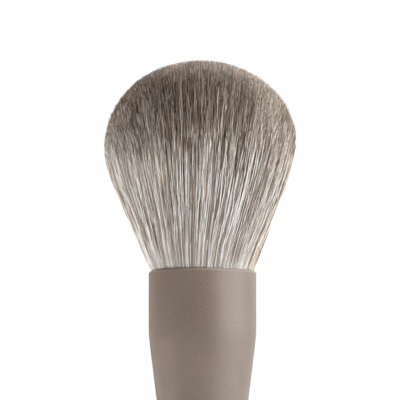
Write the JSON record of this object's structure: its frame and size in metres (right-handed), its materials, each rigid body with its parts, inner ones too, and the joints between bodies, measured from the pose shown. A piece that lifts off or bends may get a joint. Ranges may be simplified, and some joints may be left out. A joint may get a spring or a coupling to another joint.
{
  "type": "makeup brush",
  "caption": "Round powder brush with a domed bristle head, a tapered ferrule crimped to a waisted handle, and a flat foot to stand on.",
  "frame": {"origin": "centre of the handle's flat foot", "axes": "+Z along the brush's axis, from the foot towards the bristle tips; the brush is round, so X and Y are any two directions across it"},
  "size_m": [0.043, 0.043, 0.175],
  "materials": {
    "taupe_lacquer": "matte taupe lacquer over turned wood",
    "taupe_ferrule_paint": "matte taupe coat with a fine grain over drawn aluminium",
    "clear_amber_resin": "cast",
    "cotton_thread": "wound",
    "core_taupe_fibre": "soft synthetic fibre",
    "middle_taupe_fibre": "soft synthetic fibre",
    "outer_silver_taupe_fibre": "soft synthetic fibre, silver at the root and taupe at the tip"
  },
  "bodies": {
    "root": {"handle": "taupe_lacquer", "ferrule": "taupe_ferrule_paint", "resin_plug": "clear_amber_resin", "binding_thread": "cotton_thread", "core_bristles": "core_taupe_fibre", "middle_bristles": "middle_taupe_fibre", "outer_bristles": "outer_silver_taupe_fibre"}
  },
  "joints": []
}
